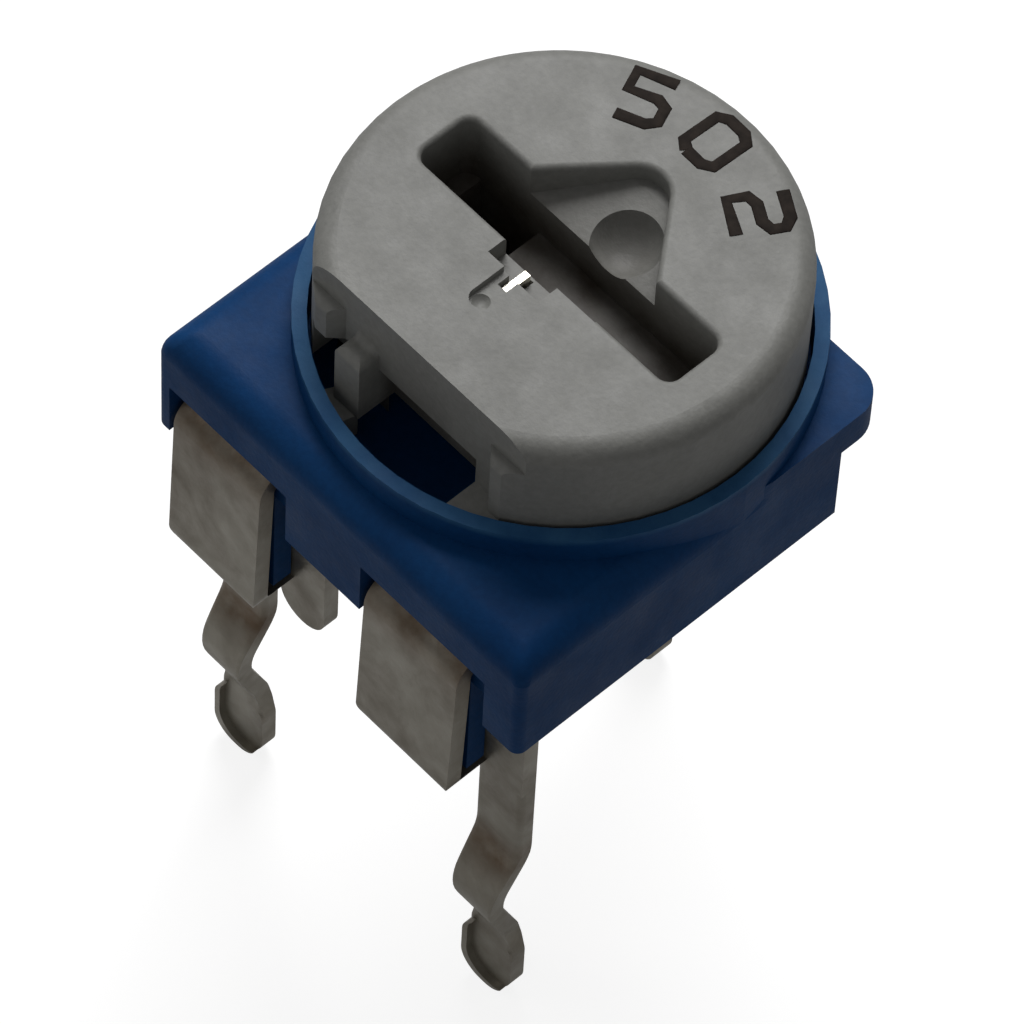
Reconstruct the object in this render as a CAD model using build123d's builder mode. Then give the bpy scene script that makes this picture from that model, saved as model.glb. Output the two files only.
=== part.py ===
"""Single-turn carbon trimmer potentiometer, adjusted from above, for through-hole mounting.

A blue moulded housing with a raised round collar holds a pale moulded rotor.  The rotor's stem turns in
a hollow eyelet in the middle of a laminate board and is headed over below it.  A spring wiper under the
rotor runs on a horseshoe carbon track printed on that board.  Two folded sheet terminals at the front
carry the ends of the track, and a third one further back carries the wiper.

Frame: millimetres, +Z up along the rotor's axis, the two end terminals towards -Y.  The origin is on the
rotor's axis, in the plane of the circuit board that the terminals' shoulders stand on.
"""

import os
from math import degrees

from build123d import *

# --- Circuit board interface -------------------------------------------------------------------------
PIN_PITCH = 5.0  # between the two end pins
PIN_ROW_PITCH = 5.0  # from the end pins back to the wiper pin
FRONT_ROW = 3.05  # from the rotor's axis forward to the end pins
PIN_LENGTH = 5.05  # below the shoulders
PIN_WIDTH = 0.85
PIN_NECK = 0.62  # width at the kink
PIN_DEPTH = 0.36  # over the curled rim of the tip
PIN_CURL = 0.1  # width of the rim
PIN_TIP_ROUND = 0.38
PIN_TIP_LENGTH = 1.25
KINK = 0.5  # how far the snap-in kink stands out
KINK_TOP = 1.5  # start of the kink below the shoulders
KINK_MIDDLE = 2.5
KINK_END = 3.6
KINK_BEND = 0.9

# --- Housing -----------------------------------------------------------------------------------------
BODY_BOTTOM = 2.5
BODY_HEIGHT = 2.0
BODY_WIDTH = 6.9
BODY_FRONT = 3.85  # from the axis to the front face
BODY_REAR = 1.75  # from the axis to the rear end of the side faces
COLLAR_HEIGHT = 0.45  # above the deck
COLLAR_WALL = 0.2
WALL = 0.5  # round the board's pocket
EAR_REAR = 2.55
EAR_THICKNESS = 0.6
EAR_CORNER = 0.5
FRONT_ROUND = 0.42  # rounded front edge of the deck
CORNER_ROUND = 0.15
SHELF = 0.4  # width of the ledge below the rotor's rim
SHELF_HEIGHT = 0.35  # above the board's pocket
SILL_INNER = 1.65  # sill over the front of the board, where the wiper's arm never reaches
SILL_SWEEP = 46.0  # degrees either side of the front
NOTCH_DEPTH = 0.34  # shallow recess behind each front plate
NOTCH_HEIGHT = 1.0
NOTCH_MARGIN = 0.08  # on the outer side of each front plate
NOTCH_OPEN = 0.5  # on the inner side of the left plate and the outer side of the right one
POST_BOTTOM = 0.35  # lower end of the posts that the front terminals fold round
POST_GAP = 0.03  # between a post and the terminal's rear sheet
RIB_REACH = 0.22  # staked ribs that hold the board in
RIB_LENGTH = 1.2
RIB_HEIGHT = 0.25

# --- Rotor -------------------------------------------------------------------------------------------
ROTOR_GAP = 0.06  # radial running clearance in the collar
ROTOR_TOP = 6.5
ROTOR_ROUND = 0.3
RIM_THICKNESS = 0.3  # full rim left below the flat
FLAT_INSET = 0.69  # from the rotor's edge to the recessed middle of its flat
LOBE = 0.18  # how far the ends of the flat stand forward of its middle
LOBE_INNER = 1.35
LOBE_DROP = 0.5  # from the top face down to the lobes
LOBE_ROUND = 0.14
FLAT_HEIGHT = 1.15  # of the wall below the flat's middle, above the hollow
HOLLOW_DEPTH = 0.3  # how far the hollow below the flat goes back
HOLLOW_LEFT = 1.85
HOLLOW_RIGHT = 1.1
SKIRT_GAP = 0.15  # radial, inside the housing's ledge
SKIRT_WALL = 0.35
GROOVE_INNER = 1.55  # groove below the rotor that the wiper's arm flexes into
GROOVE_DEPTH = 0.55
SLOT_LEFT = 2.3
SLOT_RIGHT = 2.4
SLOT_WIDTH = 0.96
SLOT_LIP = 0.08
SLOT_DEPTH = 1.2
WINDOW_LEFT = 2.05  # hole through the rotor in the slot's floor
WINDOW_RIGHT = 0.95
ARROW_HALF_BASE = 1.55
ARROW_REACH = 1.5
ARROW_DEPTH = 0.3  # at the arrow's tip
ARROW_FALL = 0.35  # further down at the slot
ARROW_ROUND = 0.4
DIMPLE_X = 0.28
DIMPLE_Y = 0.78
DIMPLE_RADIUS = 0.52
DIMPLE_DEPTH = 0.8
FACET_TIP = 1.5  # shallow triangle across the slot from the arrow
FACET_HALF = 0.28
FACET_SIDE = 1.1
FACET_DEPTH = 0.1
FACET_ROUND = 0.12
RECESS_LEFT = 0.58  # deeper recess in the slot's near wall, round the wiper's drive tab
RECESS_RIGHT = 0.36
RECESS_REACH = 0.8
RECESS_DEPTH = 0.35
PIT_RADIUS = 0.16  # small pit at the triangle's corner
STEM_RADIUS = 0.5
STEM_HEAD_RADIUS = 0.85
STEM_HEAD_HEIGHT = 0.2
TRAVEL = 105.0  # degrees each way from rest
PILLAR_OFFSET = 0.95  # stop pillar, sideways from the axis
PILLAR_WIDTH = 0.46
PILLAR_REACH = 0.34  # forward of the flat
PILLAR_TOP = 5.7
PILLAR_ROUND = 0.12
STOP_GAP = 1.0  # degrees left between pillar and stop at either end of travel
STOP_LENGTH = 14.0  # degrees

# --- Board and contacts ------------------------------------------------------------------------------
TAB_LEVEL = 0.4  # from the housing's bottom up to the terminals' tabs
BOARD_THICKNESS = 0.5
BOARD_GAP = 0.05  # round the board's edge
PRINT = 0.04  # thickness of carbon and silver prints
TRACK_RADIUS = 2.25
TRACK_WIDTH = 0.75
TRACK_HALF_GAP = 40.0  # degrees either side of the front
PAD_LAP = 14.0  # degrees of silver at either end of the track
PAD_MARGIN = 0.06  # round the rivet's head
RIVET_SHANK = 0.24
RIVET_HEAD = 0.38
RIVET_HEAD_HEIGHT = 0.14
RIVET_INSET = 0.97  # from the board's front edge back to the end rivets
EYELET_WALL = 0.15
EYELET_FLANGE = 0.12
EYELET_RIM = 1.15
EYELET_FOOT = 0.95
STEM_GAP = 0.05
SPRING = 0.1  # wiper sheet
LIFT = 0.02  # running gap under the wiper's contacts
RUN_GAP = 0.05  # axial gap where the rotor runs over fixed parts
HUB_RADIUS = 1.45
ARM_WIDTH = 1.1
ARM_SLIT = 0.2
ARM_ROOT = 1.2  # from the axis to where the arm starts to fall
DRIVE_TAB_X = 0.1  # sheet tab standing up into the slot's edge
DRIVE_TAB_WIDTH = 0.42
DRIVE_TAB_TOP = 6.3
DRIVE_TAB_GAP = 0.03

# --- Terminals ---------------------------------------------------------------------------------------
SHEET = 0.25
PLATE_FRONT = 3.83  # from the axis to the plates' outside at the top
PLATE_FLARE = 0.12  # further forward at the bottom
LEFT_PLATE = (-3.12, -1.45)  # outer and inner edge of the left plate
RIGHT_PLATE = (0.55, 2.3)
BEND = 0.42  # outside bend radius
PLATE_CORNER = 0.45  # rounded lower corners of the plates
TONGUE_WIDTH = 0.85
LEFT_TONGUE = -1.75  # outer edge
LEFT_LOBE = 0.62  # reach of the left tongue's rounded end below the shoulders
SHOULDER_HEIGHT = 0.55
SHOULDER_STEP = 0.1  # from the circuit board up to the rear sheet's lower edge
TAB_END = 0.46  # tab beyond the rivet's centre
STRIP_WIDTH = 2.0  # wiper terminal
STRIP_FRONT = 1.05

# --- Levels and radii that follow --------------------------------------------------------------------
half_width = BODY_WIDTH / 2
deck = BODY_BOTTOM + BODY_HEIGHT
collar_top = deck + COLLAR_HEIGHT
well_radius = half_width - COLLAR_WALL
rotor_radius = well_radius - ROTOR_GAP
bore_radius = well_radius - SHELF
skirt_radius = bore_radius - SKIRT_GAP
tab_bottom = BODY_BOTTOM + TAB_LEVEL
board_bottom = tab_bottom + SHEET
board_top = board_bottom + BOARD_THICKNESS
print_top = board_top + PRINT
pocket_top = print_top + LIFT
ledge = pocket_top + SHELF_HEIGHT
flange_top = board_top + EYELET_FLANGE
spring_top = flange_top + 2 * RUN_GAP + SPRING
rim_bottom = deck + RUN_GAP
rim_top = rim_bottom + RIM_THICKNESS
slot_floor = ROTOR_TOP - SLOT_DEPTH
eyelet_bore = STEM_RADIUS + STEM_GAP
eyelet_radius = eyelet_bore + EYELET_WALL
pin_x = PIN_PITCH / 2
row_face = -FRONT_ROW - SHEET / 2
rear_row = PIN_ROW_PITCH - FRONT_ROW
board_front = BODY_FRONT - WALL - BOARD_GAP
rivet_y = RIVET_INSET - board_front
flat = rotor_radius - FLAT_INSET
drive_tab_near = STEM_RADIUS + STEM_GAP
board_side = half_width - WALL - BOARD_GAP
pillar_radius = (PILLAR_OFFSET**2 + flat**2) ** 0.5
pillar_angle = -90 - degrees(PILLAR_OFFSET / pillar_radius)
pillar_half = degrees(PILLAR_WIDTH / pillar_radius) / 2

os.makedirs("parts", exist_ok=True)


def save(builder, name):
    """Labels a finished piece and writes it as the node of that name."""
    builder.part.label = name
    export_step(builder.part, f"parts/{name}.step")


def ring_sector(inner, outer, start, end):
    """Face between two radii and two angles (degrees), used as a private shape."""
    with BuildSketch(mode=Mode.PRIVATE) as sector:
        with BuildLine():
            near = CenterArc((0, 0), inner, start, end - start)
            far = CenterArc((0, 0), outer, start, end - start)
            Line(near @ 0, far @ 0)
            Line(near @ 1, far @ 1)
        make_face()
    return sector.sketch


# --- Housing: one moulding, open below for the board and above for the rotor -------------------------
with BuildPart() as housing:
    # Square front with straight sides.
    with BuildSketch(Plane.XY.offset(BODY_BOTTOM)):
        with Locations((0, (BODY_REAR - BODY_FRONT) / 2)):
            Rectangle(BODY_WIDTH, BODY_REAR + BODY_FRONT)
    extrude(amount=BODY_HEIGHT)
    fillet(housing.edges().filter_by(Axis.Z).group_by(Axis.Y)[0], CORNER_ROUND)
    fillet(housing.faces().sort_by(Axis.Z)[-1].edges().group_by(Axis.Y)[0], FRONT_ROUND)
    # Ears at deck level that fill the corners beside the round rear.
    with BuildSketch(Plane.XY.offset(deck)):
        with Locations((0, EAR_REAR / 2)):
            RectangleRounded(BODY_WIDTH, EAR_REAR, EAR_CORNER)
    extrude(amount=-EAR_THICKNESS)
    # Round rear and collar.
    with BuildSketch(Plane.XY.offset(BODY_BOTTOM)):
        Circle(half_width)
    extrude(amount=BODY_HEIGHT + COLLAR_HEIGHT)
    # Pocket for the board.
    with BuildSketch(Plane.XY.offset(BODY_BOTTOM)):
        Circle(half_width - WALL)
        with Locations((0, -(BODY_FRONT - WALL) / 2)):
            Rectangle(BODY_WIDTH - 2 * WALL, BODY_FRONT - WALL)
    extrude(amount=pocket_top - BODY_BOTTOM, mode=Mode.SUBTRACT)
    # Stepped bore for the rotor.
    with BuildSketch(Plane.XY.offset(pocket_top)):
        Circle(bore_radius)
    extrude(amount=SHELF_HEIGHT, mode=Mode.SUBTRACT)
    with BuildSketch(Plane.XY.offset(ledge)):
        Circle(well_radius)
    extrude(amount=collar_top - ledge, mode=Mode.SUBTRACT)
    # Shallow recesses behind the front plates, each wider on the plate's right.
    with BuildSketch(Plane.XY.offset(BODY_BOTTOM)):
        for inner, outer in (LEFT_PLATE, RIGHT_PLATE):
            with Locations(((inner + outer + NOTCH_OPEN - NOTCH_MARGIN) / 2, -BODY_FRONT)):
                Rectangle(outer - inner + NOTCH_OPEN + NOTCH_MARGIN, 2 * NOTCH_DEPTH)
    extrude(amount=NOTCH_HEIGHT, mode=Mode.SUBTRACT)
    # Posts below the front wall, inside the fold of each front terminal.
    with BuildSketch(Plane.XY.offset(BODY_BOTTOM)):
        for inner, outer in (LEFT_PLATE, RIGHT_PLATE):
            with Locations(((inner + outer) / 2, (row_face - POST_GAP - BODY_FRONT + NOTCH_DEPTH) / 2)):
                Rectangle(outer - inner - 2 * NOTCH_MARGIN, BODY_FRONT - NOTCH_DEPTH + row_face - POST_GAP)
    extrude(amount=POST_BOTTOM - BODY_BOTTOM)
    # Windows through the front wall for the terminals' tabs.
    with BuildSketch(Plane.XY.offset(tab_bottom - RUN_GAP)):
        for inner, outer in (LEFT_PLATE, RIGHT_PLATE):
            with Locations(((max(inner, -board_side) + outer) / 2, -BODY_FRONT)):
                Rectangle(outer - max(inner, -board_side) + 2 * BOARD_GAP, 3 * WALL)
    extrude(amount=SHEET + RUN_GAP + BOARD_GAP, mode=Mode.SUBTRACT)
    # Sill over the front of the board.
    with BuildSketch(Plane.XY.offset(pocket_top)):
        add(ring_sector(SILL_INNER, bore_radius + RUN_GAP, -90 - SILL_SWEEP, SILL_SWEEP - 90))
    extrude(amount=spring_top - RUN_GAP - pocket_top)
    # Hollows over the heads of the end rivets.
    with BuildSketch(Plane.XY.offset(pocket_top)):
        for inner, outer in (LEFT_PLATE, RIGHT_PLATE):
            with Locations(((inner + outer) / 2, rivet_y)):
                Circle(RIVET_HEAD + BOARD_GAP)
    extrude(amount=RIVET_HEAD_HEIGHT + LIFT, mode=Mode.SUBTRACT)
    # Ribs staked over below the board, one on each side wall.
    with BuildSketch(Plane.XY.offset(board_bottom)):
        with Locations((half_width - WALL, 0), (WALL - half_width, 0)):
            Rectangle(2 * RIB_REACH, RIB_LENGTH)
    extrude(amount=-RIB_HEIGHT)
    # Two stops on the ledge, where the rotor's pillar ends its travel.
    stop_end = pillar_angle + 360 - TRAVEL - pillar_half - STOP_GAP
    stop_start = pillar_angle + TRAVEL + pillar_half + STOP_GAP
    with BuildSketch(Plane.XY.offset(ledge)):
        add(ring_sector(bore_radius, well_radius + COLLAR_WALL / 2, stop_start, stop_start + STOP_LENGTH))
        add(ring_sector(bore_radius, well_radius + COLLAR_WALL / 2, stop_end - STOP_LENGTH, stop_end))
    extrude(amount=deck - ledge)
save(housing, "housing")

# --- Base board: paper-phenolic laminate, punched for the eyelet and the end rivets ------------------
with BuildPart() as base_board:
    with BuildSketch(Plane.XY.offset(board_bottom)):
        Circle(board_side)
        with Locations((0, -board_front / 2)):
            Rectangle(2 * board_side, board_front)
        Circle(eyelet_radius, mode=Mode.SUBTRACT)
        for inner, outer in (LEFT_PLATE, RIGHT_PLATE):
            with Locations(((inner + outer) / 2, rivet_y)):
                Circle(RIVET_SHANK, mode=Mode.SUBTRACT)
    extrude(amount=BOARD_THICKNESS)
save(base_board, "base_board")

# --- Resistive track: horseshoe of printed carbon ----------------------------------------------------
track_inner = TRACK_RADIUS - TRACK_WIDTH / 2
track_outer = TRACK_RADIUS + TRACK_WIDTH / 2
track_start = TRACK_HALF_GAP - 90
track_end = 270 - TRACK_HALF_GAP
with BuildPart() as resistive_track:
    with BuildSketch(Plane.XY.offset(board_top)):
        add(ring_sector(track_inner, track_outer, track_start, track_end))
    extrude(amount=PRINT)
save(resistive_track, "resistive_track")

# --- End pads: printed silver, from each end of the track to its rivet -------------------------------
for name, plate, start, end in (
    ("left_end_pad", LEFT_PLATE, track_end, track_end + PAD_LAP),
    ("right_end_pad", RIGHT_PLATE, track_start - PAD_LAP, track_start),
):
    with BuildPart() as end_pad:
        with BuildSketch(Plane.XY.offset(board_top)):
            add(ring_sector(track_inner, track_outer, start, end))
            with Locations((sum(plate) / 2, rivet_y)):
                Circle(RIVET_HEAD + PAD_MARGIN)
            make_hull()
            track_face = ring_sector(track_inner - PRINT, track_outer + WALL, track_start, track_end)
            add(track_face, mode=Mode.SUBTRACT)
            with Locations((sum(plate) / 2, rivet_y)):
                Circle(RIVET_SHANK, mode=Mode.SUBTRACT)
        extrude(amount=PRINT)
    save(end_pad, name)

# --- End rivets: clench each front terminal below the board to the silver pad above it ---------------
for name, plate in (("left_rivet", LEFT_PLATE), ("right_rivet", RIGHT_PLATE)):
    with BuildPart() as end_rivet:
        with Locations((sum(plate) / 2, rivet_y, tab_bottom - RIVET_HEAD_HEIGHT)):
            Cylinder(RIVET_HEAD, RIVET_HEAD_HEIGHT, align=(Align.CENTER, Align.CENTER, Align.MIN))
        with Locations((sum(plate) / 2, rivet_y, tab_bottom)):
            Cylinder(RIVET_SHANK, print_top - tab_bottom, align=(Align.CENTER, Align.CENTER, Align.MIN))
        with Locations((sum(plate) / 2, rivet_y, print_top)):
            Cylinder(RIVET_HEAD, RIVET_HEAD_HEIGHT, align=(Align.CENTER, Align.CENTER, Align.MIN))
        fillet(end_rivet.edges().group_by(Axis.Z)[-1], RIVET_HEAD_HEIGHT / 2)
        fillet(end_rivet.edges().group_by(Axis.Z)[0], RIVET_HEAD_HEIGHT / 2)
    save(end_rivet, name)

# --- Centre eyelet: hollow bearing of the rotor's stem, and the ring that the wiper's hub slides on --
with BuildPart() as centre_eyelet:
    with BuildSketch(Plane.XZ):
        with BuildLine():
            Polyline(
                (eyelet_bore, tab_bottom - EYELET_FLANGE),
                (EYELET_FOOT, tab_bottom - EYELET_FLANGE),
                (EYELET_FOOT, tab_bottom),
                (eyelet_radius, tab_bottom),
                (eyelet_radius, board_top),
                (EYELET_RIM, board_top),
                (EYELET_RIM, flange_top),
                (eyelet_bore, flange_top),
                close=True,
            )
        make_face()
    revolve(axis=Axis.Z)
save(centre_eyelet, "centre_eyelet")

# --- Arrow pocket: the hollow that is moulded into the rotor's top face -------------------------------
with BuildPart() as arrow_pocket:
    with BuildSketch(Plane.XY.offset(ROTOR_TOP)):
        with BuildLine():
            Polyline(
                (-ARROW_HALF_BASE, 0),
                (ARROW_HALF_BASE, 0),
                (0, ARROW_REACH + ARROW_ROUND),
                close=True,
            )
        make_face()
        fillet(vertices().group_by(Axis.Y)[-1], ARROW_ROUND)
    extrude(amount=-ARROW_DEPTH - ARROW_FALL)
    with BuildSketch(Plane.YZ):
        with BuildLine():
            Polyline(
                (0, ROTOR_TOP),
                (0, ROTOR_TOP - ARROW_DEPTH - ARROW_FALL),
                (ARROW_REACH, ROTOR_TOP - ARROW_DEPTH),
                (ARROW_REACH + ARROW_ROUND, ROTOR_TOP - ARROW_DEPTH),
                (ARROW_REACH + ARROW_ROUND, ROTOR_TOP),
                close=True,
            )
        make_face()
    extrude(amount=ARROW_HALF_BASE, both=True, mode=Mode.INTERSECT)

# --- Rotor: pale moulding with a screwdriver slot, an arrow pocket and a flat at the front ----------
stem_bottom = tab_bottom - EYELET_FLANGE - RUN_GAP
with BuildPart() as rotor:
    with BuildSketch(Plane.XY.offset(rim_bottom)):
        Circle(rotor_radius)
    extrude(amount=ROTOR_TOP - rim_bottom)
    fillet(rotor.edges().group_by(Axis.Z)[-1], ROTOR_ROUND)
    # Flat, straight at the top; further down to the rim its two ends stand forward as lobes.
    with BuildSketch(Plane.XY.offset(ROTOR_TOP)):
        with Locations((0, -flat - rotor_radius)):
            Rectangle(2 * rotor_radius, 2 * rotor_radius)
    extrude(amount=-LOBE_DROP, mode=Mode.SUBTRACT)
    with BuildSketch(Plane.XY.offset(ROTOR_TOP)):
        with BuildLine():
            Polyline(
                (-rotor_radius, -rotor_radius - LOBE),
                (-rotor_radius, -flat - LOBE),
                (-LOBE_INNER - LOBE, -flat - LOBE),
                (-LOBE_INNER, -flat),
                (LOBE_INNER, -flat),
                (LOBE_INNER + LOBE, -flat - LOBE),
                (rotor_radius, -flat - LOBE),
                (rotor_radius, -rotor_radius - LOBE),
                close=True,
            )
        make_face()
    extrude(amount=rim_top - ROTOR_TOP, mode=Mode.SUBTRACT)
    lobe_faces = rotor.faces().filter_by(Axis.Z).filter_by_position(
        Axis.Z, ROTOR_TOP - LOBE_DROP, ROTOR_TOP - LOBE_DROP, inclusive=(True, True)
    )
    fillet(lobe_faces.edges().filter_by(Axis.X).group_by(Axis.Y)[0], LOBE_ROUND)
    # Skirt that runs inside the housing's ledge, grooved for the wiper's arm.
    with BuildSketch(Plane.XY.offset(rim_bottom)):
        Circle(skirt_radius)
    extrude(amount=spring_top - rim_bottom)
    with BuildSketch(Plane.XY.offset(spring_top)):
        Circle(skirt_radius - SKIRT_WALL)
        Circle(GROOVE_INNER, mode=Mode.SUBTRACT)
    extrude(amount=GROOVE_DEPTH, mode=Mode.SUBTRACT)
    # Hollow below the flat, through the rim and the skirt.
    with BuildSketch(Plane.XY.offset(ROTOR_TOP - FLAT_HEIGHT)):
        with Locations(((HOLLOW_RIGHT - HOLLOW_LEFT) / 2, -rotor_radius)):
            Rectangle(HOLLOW_RIGHT + HOLLOW_LEFT, 2 * (rotor_radius - flat + HOLLOW_DEPTH))
    extrude(amount=spring_top - ROTOR_TOP, mode=Mode.SUBTRACT)
    # Stop pillar, from the flat down to the housing's ledge.
    with BuildSketch(Plane.XY.offset(PILLAR_TOP)):
        with Locations((-PILLAR_OFFSET, -flat + (HOLLOW_DEPTH - PILLAR_REACH) / 2)):
            Rectangle(PILLAR_WIDTH, PILLAR_REACH + HOLLOW_DEPTH)
    extrude(amount=rim_bottom - PILLAR_TOP)
    pillar_faces = rotor.faces().filter_by(Axis.Z).filter_by_position(Axis.Z, PILLAR_TOP, PILLAR_TOP)
    fillet(pillar_faces.edges(), PILLAR_ROUND)
    with BuildSketch(Plane.XY.offset(rim_bottom)):
        add(
            ring_sector(
                bore_radius + RUN_GAP,
                rotor_radius,
                pillar_angle - pillar_half,
                pillar_angle + pillar_half,
            )
        )
    extrude(amount=ledge + RUN_GAP - rim_bottom)
    # Screwdriver slot.
    with BuildSketch(Plane.XY.offset(ROTOR_TOP)):
        with Locations(((SLOT_RIGHT - SLOT_LEFT) / 2, 0)):
            RectangleRounded(SLOT_LEFT + SLOT_RIGHT, SLOT_WIDTH, SLOT_WIDTH / 5)
    extrude(amount=-SLOT_DEPTH, mode=Mode.SUBTRACT)
    # Arrow pocket on the far side of the slot: its floor falls towards the slot and has a round dimple.
    add(arrow_pocket.part, mode=Mode.SUBTRACT)
    with Locations((DIMPLE_X, DIMPLE_Y, ROTOR_TOP - DIMPLE_DEPTH + DIMPLE_RADIUS)):
        Sphere(DIMPLE_RADIUS, mode=Mode.SUBTRACT)
    fillet(rotor.faces().sort_by(Axis.Z)[-1].inner_wires().edges(), SLOT_LIP)
    # Shallow facet on the near side of the slot.
    with BuildSketch(Plane.XY.offset(ROTOR_TOP)):
        with BuildLine():
            Polyline(
                (-FACET_HALF, 0),
                (-FACET_HALF, -FACET_TIP),
                (FACET_SIDE, -FACET_SIDE),
                (FACET_SIDE, 0),
                close=True,
            )
        make_face()
        fillet(vertices().group_by(Axis.Y)[0], FACET_ROUND)
    extrude(amount=-FACET_DEPTH, mode=Mode.SUBTRACT)
    with BuildSketch(Plane.XY.offset(ROTOR_TOP)):
        with Locations(((RECESS_RIGHT - RECESS_LEFT) / 2, -RECESS_REACH / 2)):
            Rectangle(RECESS_LEFT + RECESS_RIGHT, RECESS_REACH)
    extrude(amount=-RECESS_DEPTH, mode=Mode.SUBTRACT)
    with Locations((-FACET_HALF + PIT_RADIUS, PIT_RADIUS - FACET_TIP, ROTOR_TOP)):
        Sphere(PIT_RADIUS, mode=Mode.SUBTRACT)
    # Window in the slot's floor, and the passage of the wiper's drive tab.
    with BuildSketch(Plane.XY.offset(ROTOR_TOP)):
        with Locations((-(WINDOW_LEFT + WINDOW_RIGHT) / 2, 0)):
            Rectangle(WINDOW_LEFT - WINDOW_RIGHT, SLOT_WIDTH)
        with Locations((-DRIVE_TAB_X, -(drive_tab_near + DRIVE_TAB_WIDTH / 2))):
            Rectangle(SPRING + 2 * DRIVE_TAB_GAP, DRIVE_TAB_WIDTH + 2 * DRIVE_TAB_GAP)
    extrude(amount=spring_top - ROTOR_TOP, mode=Mode.SUBTRACT)
    # Stem through the eyelet, headed over below it.
    with BuildSketch(Plane.XY.offset(spring_top)):
        Circle(STEM_RADIUS)
    extrude(amount=stem_bottom - spring_top)
    with BuildSketch(Plane.XY.offset(stem_bottom)):
        Circle(STEM_HEAD_RADIUS)
    extrude(amount=-STEM_HEAD_HEIGHT)
    fillet(rotor.edges().group_by(Axis.Z)[0], STEM_HEAD_HEIGHT / 2)
save(rotor, "rotor")

# --- Wiper spring: bronze leaf under the rotor, its forked arm on the track and its hub on the eyelet
spring_bottom = spring_top - SPRING
arm_tip = TRACK_RADIUS
arm_contact = print_top + LIFT
with BuildPart() as wiper_spring:
    with BuildSketch(Plane.XY.offset(spring_bottom)):
        Circle(HUB_RADIUS)
        Circle(eyelet_bore, mode=Mode.SUBTRACT)
    extrude(amount=SPRING)
    # Arm: falls from the hub to the track and turns up at its end.
    with BuildSketch(Plane.YZ):
        with BuildLine():
            Polyline(
                (ARM_ROOT, spring_bottom),
                (HUB_RADIUS, spring_bottom),
                (arm_tip, arm_contact),
                (arm_tip + SPRING, arm_contact),
                (arm_tip + 3 * SPRING, arm_contact + SPRING),
                (arm_tip + 3 * SPRING, arm_contact + 2 * SPRING),
                (arm_tip, arm_contact + SPRING),
                (HUB_RADIUS, spring_top),
                (ARM_ROOT, spring_top),
                close=True,
            )
        make_face()
    extrude(amount=ARM_WIDTH / 2, both=True)
    with BuildSketch(Plane.XY.offset(spring_top)):
        with Locations((0, HUB_RADIUS + arm_tip / 2)):
            Rectangle(ARM_SLIT, arm_tip)
    extrude(amount=arm_contact - spring_top, mode=Mode.SUBTRACT)
    # Drive tab standing up beside the screwdriver slot.
    with BuildSketch(Plane.XY.offset(spring_bottom)):
        with Locations((-DRIVE_TAB_X, -(drive_tab_near + DRIVE_TAB_WIDTH / 2))):
            Rectangle(SPRING, DRIVE_TAB_WIDTH)
    extrude(amount=DRIVE_TAB_TOP - spring_bottom)
    # Three pips that slide on the eyelet's rim.
    with PolarLocations((EYELET_RIM + eyelet_bore) / 2, 3, start_angle=30):
        with Locations((0, 0, spring_bottom)):
            pip_height = spring_bottom - flange_top - LIFT
            Cylinder(SPRING, pip_height, align=(Align.CENTER, Align.CENTER, Align.MAX))
save(wiper_spring, "wiper_spring")

# --- Pin: sheet with a snap-in kink and a dished tip, its front face at Y = 0, shared by all terminals
with BuildPart() as pin:
    with BuildSketch(Plane.YZ):
        with BuildLine():
            FilletPolyline(
                (0, SHOULDER_HEIGHT),
                (0, -KINK_TOP),
                (-KINK, -KINK_MIDDLE),
                (0, -KINK_END),
                (0, -PIN_LENGTH),
                radius=KINK_BEND,
            )
            offset(amount=SHEET, side=Side.LEFT)
        make_face()
    extrude(amount=PIN_WIDTH / 2, both=True)
    # Rim of the tip, curled forward on one side, with the dish beside it.
    with BuildSketch(Plane.XZ):
        with Locations((0, PIN_TIP_LENGTH / 2 - PIN_LENGTH)):
            RectangleRounded(PIN_WIDTH, PIN_TIP_LENGTH, PIN_TIP_ROUND)
    extrude(amount=PIN_DEPTH - SHEET)
    fillet(pin.faces().sort_by(Axis.Y)[0].edges(), PIN_CURL)
    with BuildSketch(Plane.XZ.offset(PIN_DEPTH)):
        with Locations((PIN_CURL, PIN_TIP_LENGTH / 2 - PIN_LENGTH + PIN_CURL)):
            RectangleRounded(PIN_WIDTH, PIN_TIP_LENGTH, PIN_TIP_ROUND)
    extrude(amount=-PIN_DEPTH, mode=Mode.SUBTRACT)
    # Outline seen from the front.
    with BuildSketch(Plane.XZ):
        with BuildLine():
            Polyline(
                (-PIN_WIDTH / 2, SHOULDER_HEIGHT),
                (-PIN_WIDTH / 2, -KINK_TOP),
                (-PIN_NECK / 2, -KINK_END),
                (-PIN_WIDTH / 2, -KINK_END - KINK_BEND / 2),
                (-PIN_WIDTH / 2, -PIN_LENGTH),
                (PIN_WIDTH / 2, -PIN_LENGTH),
                (PIN_WIDTH / 2, -KINK_END - KINK_BEND / 2),
                (PIN_NECK / 2, -KINK_END),
                (PIN_WIDTH / 2, -KINK_TOP),
                (PIN_WIDTH / 2, SHOULDER_HEIGHT),
                close=True,
            )
        make_face()
        fillet(vertices().group_by(Axis.Y)[0], PIN_TIP_ROUND)
        fillet(vertices().filter_by_position(Axis.Y, -KINK_END - KINK_BEND, -KINK_TOP), PIN_TIP_ROUND)
    extrude(amount=PIN_LENGTH, both=True, mode=Mode.INTERSECT)

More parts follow.
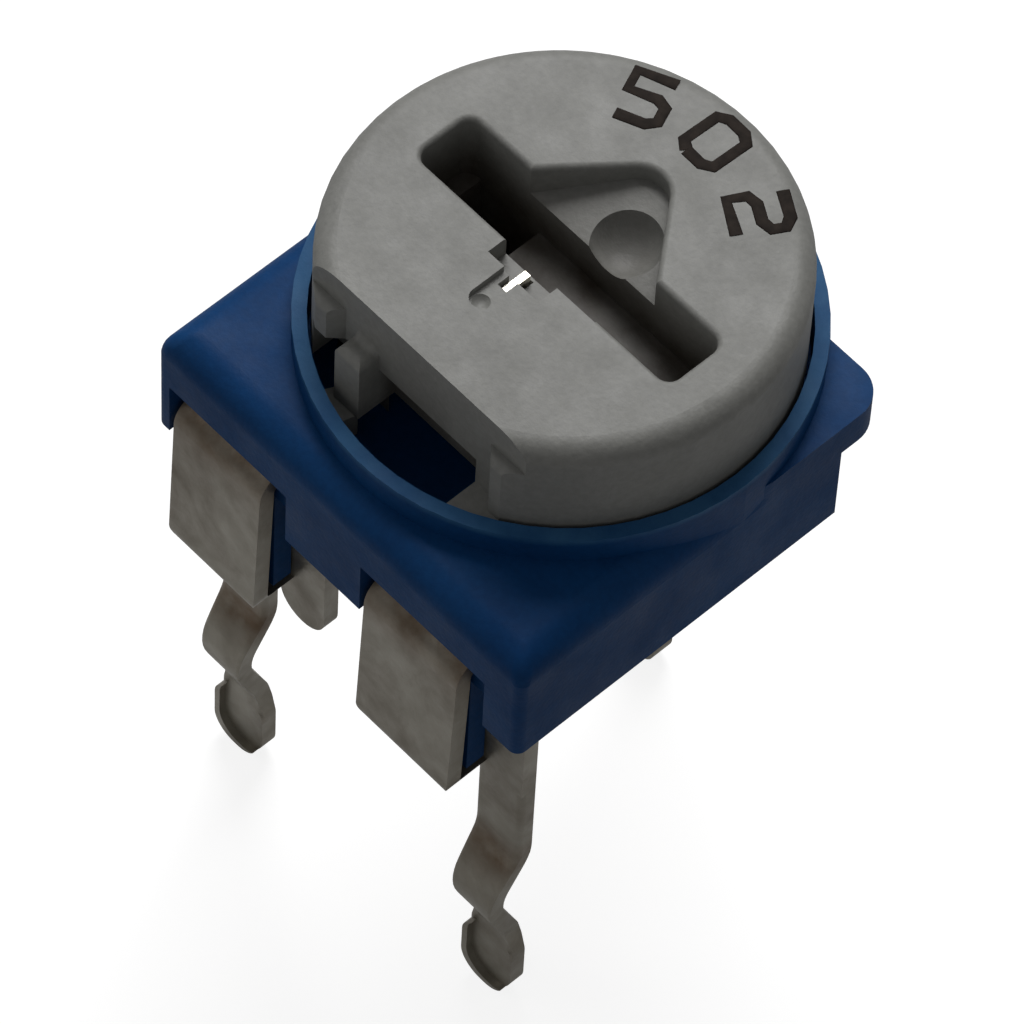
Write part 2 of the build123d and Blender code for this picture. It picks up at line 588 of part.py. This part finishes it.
# --- Front terminals: tab below the board, plate down the front, folded back to pin and tongue -------
tongue_top = tab_bottom - RUN_GAP
tongue_round = TONGUE_WIDTH / 2
for name, plate, pin_centre, tongue, tongue_bottom in (
    ("left_terminal", LEFT_PLATE, -pin_x, LEFT_TONGUE, -LEFT_LOBE),
    ("right_terminal", RIGHT_PLATE, pin_x, pin_x - PIN_WIDTH / 2, SHOULDER_STEP),
):
    with BuildPart() as end_terminal:
        with BuildSketch(Plane.YZ.offset(plate[0])):
            with BuildLine():
                FilletPolyline(
                    (rivet_y + TAB_END, board_bottom),
                    (-PLATE_FRONT, board_bottom),
                    (-PLATE_FRONT - PLATE_FLARE, 0),
                    (row_face + SHEET, 0),
                    radius=BEND,
                )
                offset(amount=SHEET, side=Side.LEFT)
            make_face()
        extrude(amount=plate[1] - plate[0])
        # Lower corners of the plate, rounded across the fold.
        with BuildSketch(Plane.XZ.offset(PLATE_FRONT + PLATE_FLARE)):
            with Locations((sum(plate) / 2, board_bottom / 2)):
                RectangleRounded(plate[1] - plate[0], board_bottom, PLATE_CORNER)
            with Locations((sum(plate) / 2, board_bottom - PLATE_CORNER)):
                Rectangle(plate[1] - plate[0], 2 * PLATE_CORNER)
        extrude(amount=-2 * BODY_FRONT, mode=Mode.INTERSECT)
        with BuildSketch(Plane.XY.offset(board_bottom)):
            with Locations((sum(plate) / 2, rivet_y)):
                Circle(RIVET_SHANK)
        extrude(amount=-SHEET, mode=Mode.SUBTRACT)
        # The tab keeps clear of the housing's side walls.
        with BuildSketch(Plane.XY.offset(board_bottom)):
            with Locations((-board_side - WALL, 0), (board_side + WALL, 0)):
                Rectangle(2 * WALL, 2 * (BODY_FRONT - NOTCH_DEPTH + BOARD_GAP))
        extrude(amount=-SHEET, mode=Mode.SUBTRACT)
        # Rear sheet with the tongue that rises to the board.
        with BuildSketch(Plane.XZ.offset(-row_face)):
            with BuildLine():
                Polyline(
                    (min(plate[0], tongue), SHOULDER_STEP),
                    (max(plate[1], tongue + TONGUE_WIDTH), SHOULDER_STEP),
                    (max(plate[1], tongue + TONGUE_WIDTH), SHOULDER_HEIGHT),
                    (min(plate[0], tongue), SHOULDER_HEIGHT),
                    close=True,
                )
            make_face()
            with Locations((tongue + tongue_round, (tongue_top + tongue_bottom + tongue_round) / 2)):
                Rectangle(TONGUE_WIDTH, tongue_top - tongue_bottom - tongue_round)
            with Locations((tongue + tongue_round, tongue_bottom + tongue_round)):
                Circle(tongue_round)
        extrude(amount=-SHEET)
        with Locations((pin_centre, row_face)):
            add(pin.part)
    save(end_terminal, name)

# --- Wiper terminal: strip below the board, clenched by the eyelet and folded down to its pin --------
strip_face = rear_row + SHEET / 2
with BuildPart() as wiper_terminal:
    with BuildSketch(Plane.YZ):
        with BuildLine():
            FilletPolyline(
                (-STRIP_FRONT, board_bottom),
                (strip_face, board_bottom),
                (strip_face, 0),
                radius=BEND,
            )
            offset(amount=SHEET, side=Side.RIGHT)
        make_face()
    extrude(amount=STRIP_WIDTH / 2, both=True)
    with BuildSketch(Plane.XY.offset(board_bottom)):
        Circle(eyelet_radius)
    extrude(amount=-SHEET, mode=Mode.SUBTRACT)
    with Locations((0, strip_face)):
        add(pin.part.rotate(Axis.Z, 180))
save(wiper_terminal, "wiper_terminal")
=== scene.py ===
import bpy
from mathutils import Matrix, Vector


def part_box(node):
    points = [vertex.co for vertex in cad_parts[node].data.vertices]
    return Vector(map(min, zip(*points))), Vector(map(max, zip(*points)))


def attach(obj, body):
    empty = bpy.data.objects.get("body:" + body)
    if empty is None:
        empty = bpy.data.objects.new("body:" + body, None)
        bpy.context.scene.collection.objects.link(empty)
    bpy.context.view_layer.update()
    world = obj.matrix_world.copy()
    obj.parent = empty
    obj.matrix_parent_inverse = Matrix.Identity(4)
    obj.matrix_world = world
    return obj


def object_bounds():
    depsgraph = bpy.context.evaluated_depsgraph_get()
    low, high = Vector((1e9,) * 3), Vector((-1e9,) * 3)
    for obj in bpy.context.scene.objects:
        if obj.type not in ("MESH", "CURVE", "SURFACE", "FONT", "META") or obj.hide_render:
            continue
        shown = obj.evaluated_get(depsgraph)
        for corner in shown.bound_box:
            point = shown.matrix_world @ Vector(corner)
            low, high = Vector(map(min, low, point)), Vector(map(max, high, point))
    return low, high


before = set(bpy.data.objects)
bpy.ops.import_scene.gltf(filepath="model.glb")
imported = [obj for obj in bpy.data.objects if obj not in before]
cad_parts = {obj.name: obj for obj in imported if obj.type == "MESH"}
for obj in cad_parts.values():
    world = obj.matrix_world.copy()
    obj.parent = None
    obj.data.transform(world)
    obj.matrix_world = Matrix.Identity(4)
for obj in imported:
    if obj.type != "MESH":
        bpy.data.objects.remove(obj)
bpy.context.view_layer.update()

from math import cos, pi, radians, sin

import bmesh
import bpy
from mathutils import Matrix, Vector

# --- Housing ------------------------------------------------------------------------------------
# The housing is one injection moulding in glass-filled blue nylon.  Its faces keep the fine satin
# of the mould, and the lip of the collar is painted a little paler than the rest as a painted
# highlight.


def new_group(name, inputs, outputs):
    """An empty shader node group with the given sockets, and its input and output nodes."""
    tree = bpy.data.node_groups.new(name, "ShaderNodeTree")
    for label, kind, value in inputs:
        socket = tree.interface.new_socket(label, in_out="INPUT", socket_type=kind)
        socket.default_value = value
    for label, kind in outputs:
        tree.interface.new_socket(label, in_out="OUTPUT", socket_type=kind)
    return tree, tree.nodes.new("NodeGroupInput"), tree.nodes.new("NodeGroupOutput")


def noise(tree, scale, detail, rough=0.55, distortion=0.0):
    """A noise texture laid through the body of the piece, in cycles per metre."""
    place = tree.nodes.new("ShaderNodeTexCoord")
    texture = tree.nodes.new("ShaderNodeTexNoise")
    texture.inputs["Scale"].default_value = scale
    texture.inputs["Detail"].default_value = detail
    texture.inputs["Roughness"].default_value = rough
    texture.inputs["Distortion"].default_value = distortion
    tree.links.new(place.outputs["Object"], texture.inputs["Vector"])
    return texture.outputs["Fac"]


def span(tree, value, low, high, to_low=0.0, to_high=1.0):
    """Maps a value from low..high to to_low..to_high, held at both ends."""
    node = tree.nodes.new("ShaderNodeMapRange")
    tree.links.new(value, node.inputs["Value"])
    limits = {"From Min": low, "From Max": high, "To Min": to_low, "To Max": to_high}
    for label, number in limits.items():
        node.inputs[label].default_value = number
    return node.outputs["Result"]


def maths(tree, operation, *values):
    """A maths node; each value is a socket or a plain number."""
    node = tree.nodes.new("ShaderNodeMath")
    node.operation = operation
    for socket, value in zip(node.inputs, values):
        if isinstance(value, bpy.types.NodeSocket):
            tree.links.new(value, socket)
        else:
            socket.default_value = value
    return node.outputs[0]


def own_axes(tree):
    """The piece's own coordinates, split into X, Y and Z."""
    place = tree.nodes.new("ShaderNodeTexCoord")
    axes = tree.nodes.new("ShaderNodeSeparateXYZ")
    tree.links.new(place.outputs["Object"], axes.inputs[0])
    return axes.outputs


def blend_colour(tree, fac, first, second):
    """Mixes two colours, each a socket or a plain colour, by a factor socket."""
    node = tree.nodes.new("ShaderNodeMix")
    node.data_type = "RGBA"
    for value, label in ((fac, "Factor"), (first, "A"), (second, "B")):
        socket = next(s for s in node.inputs if s.name == label and s.enabled)
        if isinstance(value, bpy.types.NodeSocket):
            tree.links.new(value, socket)
        else:
            socket.default_value = value
    return next(s for s in node.outputs if s.enabled)


# Moulded surface: two depths of the pigment in soft clouds, with fine grain for the bump.
moulded, moulded_in, moulded_out = new_group(
    "moulded_surface",
    [
        ("Colour", "NodeSocketColor", (0.5, 0.5, 0.5, 1)),
        ("Deep Colour", "NodeSocketColor", (0.4, 0.4, 0.4, 1)),
        ("Clouds", "NodeSocketFloat", 0.5),
        ("Roughness", "NodeSocketFloat", 0.5),
    ],
    [
        ("Colour", "NodeSocketColor"),
        ("Roughness", "NodeSocketFloat"),
        ("Height", "NodeSocketFloat"),
    ],
)
clouds = span(moulded, noise(moulded, 520, 3.0), 0.38, 0.66)
tone = blend_colour(
    moulded,
    maths(moulded, "MULTIPLY", clouds, moulded_in.outputs["Clouds"]),
    moulded_in.outputs["Colour"],
    moulded_in.outputs["Deep Colour"],
)
speck = span(moulded, noise(moulded, 9500, 2.0), 0.35, 0.68, 0.93, 1.05)
speck_mix = moulded.nodes.new("ShaderNodeVectorMath")
speck_mix.operation = "SCALE"
moulded.links.new(tone, speck_mix.inputs[0])
moulded.links.new(speck, speck_mix.inputs["Scale"])
moulded.links.new(speck_mix.outputs[0], moulded_out.inputs["Colour"])
rubbing = span(moulded, noise(moulded, 1400, 4.0), 0.3, 0.7, 0.88, 1.14)
gloss = maths(moulded, "MULTIPLY", moulded_in.outputs["Roughness"], rubbing)
moulded.links.new(gloss, moulded_out.inputs["Roughness"])
moulded.links.new(noise(moulded, 16000, 3.0), moulded_out.inputs["Height"])


def new_material(name, metallic=0.0):
    """A material with one Principled shader, and its node tree and shader."""
    material = bpy.data.materials.new(name)
    material.use_nodes = True
    shader = material.node_tree.nodes["Principled BSDF"]
    shader.inputs["Metallic"].default_value = metallic
    return material, material.node_tree, shader


def place_group(tree, group, values):
    """Puts a node group in a material with its own values."""
    node = tree.nodes.new("ShaderNodeGroup")
    node.node_tree = group
    for label, value in values.items():
        if isinstance(value, bpy.types.NodeSocket):
            tree.links.new(value, node.inputs[label])
        else:
            node.inputs[label].default_value = value
    return node


def grain_bump(tree, shader, height, strength, depth):
    """Feeds a height to the shader's normal through one bump node; depth in metres."""
    bump = tree.nodes.new("ShaderNodeBump")
    bump.inputs["Strength"].default_value = strength
    bump.inputs["Distance"].default_value = depth
    tree.links.new(height, bump.inputs["Height"])
    tree.links.new(bump.outputs["Normal"], shader.inputs["Normal"])


def dress(node, material):
    """Gives a carried-over piece its finish."""
    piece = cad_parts[node]
    for slot in piece.material_slots:
        slot.material = material
    if not piece.material_slots:
        piece.data.materials.append(material)


blue, tree, shader = new_material("housing_blue_nylon")
surface = place_group(
    tree,
    moulded,
    {
        "Colour": (0.004, 0.050, 0.165, 1),
        "Deep Colour": (0.002, 0.036, 0.128, 1),
        "Clouds": 0.8,
        "Roughness": 0.55,
    },
)
# Painted highlight: a paler blue band round the top of the collar, broken up by noise.
LIP_START = 0.00012
LIP_FULL = 0.00002
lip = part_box("housing")[1][2]
near_lip = span(tree, own_axes(tree)["Z"], lip - LIP_START, lip - LIP_FULL)
painted_lip_highlight = maths(tree, "MULTIPLY", near_lip, span(tree, noise(tree, 1500, 4.0), 0.3, 0.6, 0.45, 1.0))
tree.links.new(
    blend_colour(tree, painted_lip_highlight, surface.outputs["Colour"], (0.030, 0.110, 0.240, 1)),
    shader.inputs["Base Color"],
)
tree.links.new(surface.outputs["Roughness"], shader.inputs["Roughness"])
shader.inputs["Specular IOR Level"].default_value = 0.12
grain_bump(tree, shader, surface.outputs["Height"], 0.25, 0.00002)
dress("housing", blue)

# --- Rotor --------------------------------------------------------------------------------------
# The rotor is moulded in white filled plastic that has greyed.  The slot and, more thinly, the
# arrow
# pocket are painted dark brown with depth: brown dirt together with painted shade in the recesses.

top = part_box("rotor")[1][2]
pale, tree, shader = new_material("rotor_greyed_white")
surface = place_group(
    tree,
    moulded,
    {
        "Colour": (0.222, 0.222, 0.208, 1),
        "Deep Colour": (0.200, 0.200, 0.188, 1),
        "Clouds": 0.7,
        "Roughness": 0.55,
    },
)
# Dirt and painted shade by depth below the top face, thinner beside the slot and broken up by
# noise.
DARKENING_START = 0.00012
DARKENING_FULL = 0.00110
SLOT_ENDS = (0.0024, 0.0026)
SLOT_SIDE = (0.00047, 0.00054)
BESIDE_SLOT = 0.62
place = tree.nodes.new("ShaderNodeTexCoord")
from_axis = tree.nodes.new("ShaderNodeVectorMath")
from_axis.operation = "MULTIPLY"
from_axis.inputs[1].default_value = (1, 1, 0)
tree.links.new(place.outputs["Object"], from_axis.inputs[0])
radius = tree.nodes.new("ShaderNodeVectorMath")
radius.operation = "LENGTH"
tree.links.new(from_axis.outputs[0], radius.inputs[0])
axes = own_axes(tree)
depth = span(tree, axes["Z"], top - DARKENING_FULL, top - DARKENING_START, 1.0, 0.0)
inside = span(tree, radius.outputs["Value"], *SLOT_ENDS, 1.0, 0.0)
in_slot = span(tree, maths(tree, "ABSOLUTE", axes["Y"]), *SLOT_SIDE, 1.0, BESIDE_SLOT)
dirt_and_shade = maths(tree, "MULTIPLY", depth, maths(tree, "MULTIPLY", inside, in_slot))
broken_dirt_and_shade = maths(tree, "MULTIPLY", dirt_and_shade, span(tree, noise(tree, 1800, 5.0), 0.3, 0.7, 0.7, 1.0))
# Dark brown mixed in for dirt and painted shade in the slot and arrow pocket.
dirt_and_shade_colour = blend_colour(tree, broken_dirt_and_shade, surface.outputs["Colour"], (0.030, 0.019, 0.010, 1))
tree.links.new(dirt_and_shade_colour, shader.inputs["Base Color"])
tree.links.new(surface.outputs["Roughness"], shader.inputs["Roughness"])
grain_bump(tree, shader, surface.outputs["Height"], 0.3, 0.00002)
dress("rotor", pale)

# --- Value figures ------------------------------------------------------------------------------
# Plain figures pad-printed in dark ink on the rotor's top face, round its far edge with their heads
# outwards.  The ink is a thin film with slightly soft, raised edges.


def mottled(tree, shader, scale, detail, edges, first, second):
    """Gives the shader a base colour that wanders between two tones."""
    fac = span(tree, noise(tree, scale, detail), *edges)
    tree.links.new(blend_colour(tree, fac, first, second), shader.inputs["Base Color"])


FIGURE_RADIUS = 0.00252
FIGURE_TALL = 0.00074
FIGURE_WIDE = 0.00056
STROKE = 0.00018
INK_FILM = 0.000012
ink, tree, shader = new_material("print_ink")
mottled(
    tree, shader, 6000, 4.0, (0.35, 0.65), (0.014, 0.010, 0.008, 1), (0.026, 0.019, 0.015, 1)
)
shader.inputs["Roughness"].default_value = 0.75
shader.inputs["Specular IOR Level"].default_value = 0.15
grain_bump(tree, shader, noise(tree, 14000, 3.0), 0.3, 0.00001)
# Each figure as strokes on a field two wide and four tall, from its bottom left corner.
figures = {
    "5": [[(2, 4), (0, 4), (0, 2.3), (1.5, 2.3), (2, 1.8), (2, 0.5), (1.5, 0), (0, 0)]],
    "0": [
        [(0.5, 0), (1.5, 0), (2, 0.5), (2, 3.5), (1.5, 4), (0.5, 4), (0, 3.5), (0, 0.5), (0.5, 0)]
    ],
    "2": [[(0, 4), (1.5, 4), (2, 3.5), (2, 2.5), (1.5, 2), (0.5, 2), (0, 1.5), (0, 0), (2, 0)]],
}
for figure, angle in (("5", 113), ("0", 88), ("2", 60)):
    line = bpy.data.curves.new("figure_" + figure, "CURVE")
    line.dimensions = "3D"
    line.bevel_depth = STROKE / 2
    line.bevel_resolution = 3
    line.use_fill_caps = True
    for stroke in figures[figure]:
        spline = line.splines.new("POLY")
        spline.points.add(len(stroke) - 1)
        for point, (across, up) in zip(spline.points, stroke):
            point.co = ((across / 2 - 0.5) * FIGURE_WIDE, (up / 4 - 0.5) * FIGURE_TALL, 0, 1)
    drawn = bpy.data.objects.new("drawn", line)
    bpy.context.collection.objects.link(drawn)
    graph = bpy.context.evaluated_depsgraph_get()
    mesh = bpy.data.meshes.new_from_object(drawn.evaluated_get(graph))
    bpy.data.objects.remove(drawn)
    turn = radians(angle)
    # Heads outwards, so each figure's up points away from the rotor's axis.
    seat = Matrix.Translation((FIGURE_RADIUS * cos(turn), FIGURE_RADIUS * sin(turn), top))
    flatten = Matrix.Diagonal((1, 1, 2 * INK_FILM / STROKE, 1))
    mesh.transform(seat @ Matrix.Rotation(turn - pi / 2, 4, "Z") @ flatten)
    mesh.materials.append(ink)
    piece = bpy.data.objects.new("value_figure_" + figure, mesh)
    bpy.context.collection.objects.link(piece)
    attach(piece, "turning")

# --- Terminals and rivets -----------------------------------------------------------------------
# The terminals are stamped from thin brass strip and dipped in tin, which has gone dull and a
# little brown.  Rivets and eyelet are tinned in the same way and clenched through the board.

tarnish, tarnish_in, tarnish_out = new_group(
    "dull_tin",
    [
        ("Colour", "NodeSocketColor", (0.5, 0.5, 0.5, 1)),
        ("Stain", "NodeSocketColor", (0.3, 0.2, 0.1, 1)),
        ("Amount", "NodeSocketFloat", 0.4),
    ],
    [
        ("Colour", "NodeSocketColor"),
        ("Roughness", "NodeSocketFloat"),
        ("Height", "NodeSocketFloat"),
    ],
)
patches = span(tarnish, noise(tarnish, 900, 5.0, 0.6, 0.6), 0.42, 0.72)
patched = blend_colour(
    tarnish,
    maths(tarnish, "MULTIPLY", patches, tarnish_in.outputs["Amount"]),
    tarnish_in.outputs["Colour"],
    tarnish_in.outputs["Stain"],
)
tarnish.links.new(patched, tarnish_out.inputs["Colour"])
tarnish.links.new(
    span(tarnish, noise(tarnish, 2600, 4.0), 0.3, 0.7, 0.34, 0.58), tarnish_out.inputs["Roughness"]
)
tarnish.links.new(noise(tarnish, 3800, 5.0, 0.6, 0.4), tarnish_out.inputs["Height"])

tin, tree, shader = new_material("tinned_strip", metallic=0.75)
surface = place_group(
    tree,
    tarnish,
    {"Colour": (0.31, 0.29, 0.245, 1), "Stain": (0.12, 0.092, 0.062, 1), "Amount": 0.6},
)
# Painted shade: brown lines where the strip is bent, at the tops of the plates and at the start of
# the kinks.
PLATE_BEND = (0.0023, 0.0031)
KINK_ABOVE = (-0.0011, -0.0015)
KINK_BELOW = (-0.0021, -0.0017)
height = own_axes(tree)["Z"]
kink = maths(tree, "MULTIPLY", span(tree, height, *KINK_ABOVE), span(tree, height, *KINK_BELOW))
bend = maths(tree, "MAXIMUM", span(tree, height, *PLATE_BEND), kink)
painted_bend_shade = maths(tree, "MULTIPLY", bend, span(tree, noise(tree, 2200, 4.0), 0.3, 0.65, 0.3, 0.9))
tree.links.new(
    blend_colour(tree, painted_bend_shade, surface.outputs["Colour"], (0.13, 0.085, 0.05, 1)),
    shader.inputs["Base Color"],
)
tree.links.new(surface.outputs["Roughness"], shader.inputs["Roughness"])
grain_bump(tree, shader, surface.outputs["Height"], 0.35, 0.00003)
for node in ("left_terminal", "right_terminal", "wiper_terminal"):
    dress(node, tin)
for node in ("left_rivet", "right_rivet", "centre_eyelet"):
    dress(node, tin)

# --- Board and its prints -----------------------------------------------------------------------
# The board is paper laminate bonded with brown phenolic resin.  The horseshoe track is a matt black
# carbon print, and silver paint joins each of its ends to a rivet.

laminate, tree, shader = new_material("board_phenolic_laminate")
fibres = tree.nodes.new("ShaderNodeTexWave")
fibres.wave_type = "BANDS"
fibres.bands_direction = "Z"
fibres.inputs["Scale"].default_value = 4200
fibres.inputs["Distortion"].default_value = 3.0
place = tree.nodes.new("ShaderNodeTexCoord")
tree.links.new(place.outputs["Object"], fibres.inputs["Vector"])
wander = span(tree, noise(tree, 2400, 5.0), 0.3, 0.7)
paper = blend_colour(tree, wander, (0.130, 0.062, 0.024, 1), (0.220, 0.115, 0.045, 1))
streaks = span(tree, fibres.outputs["Fac"], 0, 1, 0, 0.35)
tree.links.new(
    blend_colour(tree, streaks, paper, (0.09, 0.045, 0.02, 1)), shader.inputs["Base Color"]
)
shader.inputs["Roughness"].default_value = 0.5
grain_bump(tree, shader, noise(tree, 12000, 3.0), 0.3, 0.00001)
dress("base_board", laminate)

carbon, tree, shader = new_material("track_carbon_print")
mottled(
    tree, shader, 8000, 5.0, (0.3, 0.7), (0.008, 0.008, 0.009, 1), (0.020, 0.020, 0.021, 1)
)
shader.inputs["Roughness"].default_value = 0.45
grain_bump(tree, shader, noise(tree, 15000, 4.0), 0.4, 0.00001)
dress("resistive_track", carbon)

silver, tree, shader = new_material("pad_silver_paint", metallic=0.8)
mottled(tree, shader, 5000, 5.0, (0.3, 0.7), (0.42, 0.41, 0.38, 1), (0.60, 0.59, 0.56, 1))
shader.inputs["Roughness"].default_value = 0.45
grain_bump(tree, shader, noise(tree, 12000, 4.0), 0.4, 0.00001)
dress("left_end_pad", silver)
dress("right_end_pad", silver)

# --- Wiper spring -------------------------------------------------------------------------------
# The wiper is a bright spring-bronze leaf pressed onto the rotor's underside.  Its drive tab
# stands up through the rotor beside the slot, where its sheared end catches the light.

bronze, tree, shader = new_material("wiper_spring_bronze", metallic=1.0)
mottled(tree, shader, 4200, 4.0, (0.3, 0.7), (0.70, 0.66, 0.54, 1), (0.86, 0.83, 0.74, 1))
tree.links.new(span(tree, noise(tree, 3000, 3.0), 0.3, 0.7, 0.18, 0.34), shader.inputs["Roughness"])
grain_bump(tree, shader, noise(tree, 9000, 3.0), 0.25, 0.00001)
dress("wiper_spring", bronze)

# --- Floor, lights and camera -------------------------------------------------------------------
# A plain pale floor under the pins' tips, soft studio lamps and a long lens from above the front
# corner.  Floor and sky look white to the camera but cast much less light on the part itself.

FLOOR_HALF = 2.0
FLOOR_DROP = 0.00005
low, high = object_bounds()
floor_mesh = bpy.data.meshes.new("floor")
form = bmesh.new()
bmesh.ops.create_grid(form, x_segments=1, y_segments=1, size=FLOOR_HALF)
form.to_mesh(floor_mesh)
form.free()
floor = bpy.data.objects.new("floor", floor_mesh)
floor.location = (0, 0, low[2] - FLOOR_DROP)
bpy.context.collection.objects.link(floor)
paper_white, tree, shader = new_material("floor_paper")
shader.inputs["Base Color"].default_value = (0.32, 0.32, 0.32, 1)
shader.inputs["Roughness"].default_value = 0.9
shader.inputs["Specular IOR Level"].default_value = 0.1
seen = tree.nodes.new("ShaderNodeLightPath")
mirrored = maths(tree, "MULTIPLY", seen.outputs["Is Glossy Ray"], 0.22)
lit = maths(tree, "MULTIPLY_ADD", seen.outputs["Is Camera Ray"], 0.84, mirrored)
shader.inputs["Emission Color"].default_value = (1, 1, 1, 1)
tree.links.new(lit, shader.inputs["Emission Strength"])
floor_mesh.materials.append(paper_white)

world = bpy.data.worlds.new("studio")
bpy.context.scene.world = world
world.use_nodes = True
sky = world.node_tree.nodes["Background"]
sky.inputs["Color"].default_value = (1, 1, 1, 1)
path = world.node_tree.nodes.new("ShaderNodeLightPath")
white = maths(world.node_tree, "MULTIPLY_ADD", path.outputs["Is Camera Ray"], 0.82, 0.18)
world.node_tree.links.new(white, sky.inputs["Strength"])

middle = Vector([(a + b) / 2 for a, b in zip(low, high)])
for name, way, far, size, power in (
    ("key_softbox", (-0.50, 0.55, 1.0), 0.09, 0.05, 0.058),
    ("fill_softbox", (0.9, -0.9, 0.7), 0.12, 0.08, 0.005),
    ("left_softbox", (-1.0, -0.8, 0.7), 0.12, 0.06, 0.010),
):
    lamp = bpy.data.lights.new(name, "AREA")
    lamp.size = size
    lamp.energy = power
    stand = bpy.data.objects.new(name, lamp)
    stand.location = middle + Vector(way).normalized() * far
    stand.rotation_euler = Vector(way).to_track_quat("Z", "Y").to_euler()
    bpy.context.collection.objects.link(stand)

AROUND = radians(44.46)
ABOVE = radians(57.0)
ROLL = radians(3.39)
DISTANCE = 0.110
FOCAL_LENGTH = 297.2
SHIFT_RIGHT = -0.00055
SHIFT_UP = -0.00119
AIM_BELOW_TOP = 0.0040  # from the rotor's top down to the housing's lower edge
back = Vector((sin(AROUND) * cos(ABOVE), -cos(AROUND) * cos(ABOVE), sin(ABOVE)))
level = Vector((cos(AROUND), sin(AROUND), 0))
rise = back.cross(level)
right = cos(ROLL) * level + sin(ROLL) * rise
up = cos(ROLL) * rise - sin(ROLL) * level
aim = Vector((0, 0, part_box("rotor")[1][2] - AIM_BELOW_TOP))
lens = bpy.data.cameras.new("camera")
lens.lens = FOCAL_LENGTH
lens.clip_start = 0.01
lens.clip_end = 10
camera = bpy.data.objects.new("camera", lens)
spot = aim + back * DISTANCE + SHIFT_RIGHT * right + SHIFT_UP * up
camera.matrix_world = Matrix.Translation(spot) @ Matrix((right, up, back)).transposed().to_4x4()
bpy.context.collection.objects.link(camera)
bpy.context.scene.camera = camera
bpy.context.scene.view_settings.view_transform = "Standard"
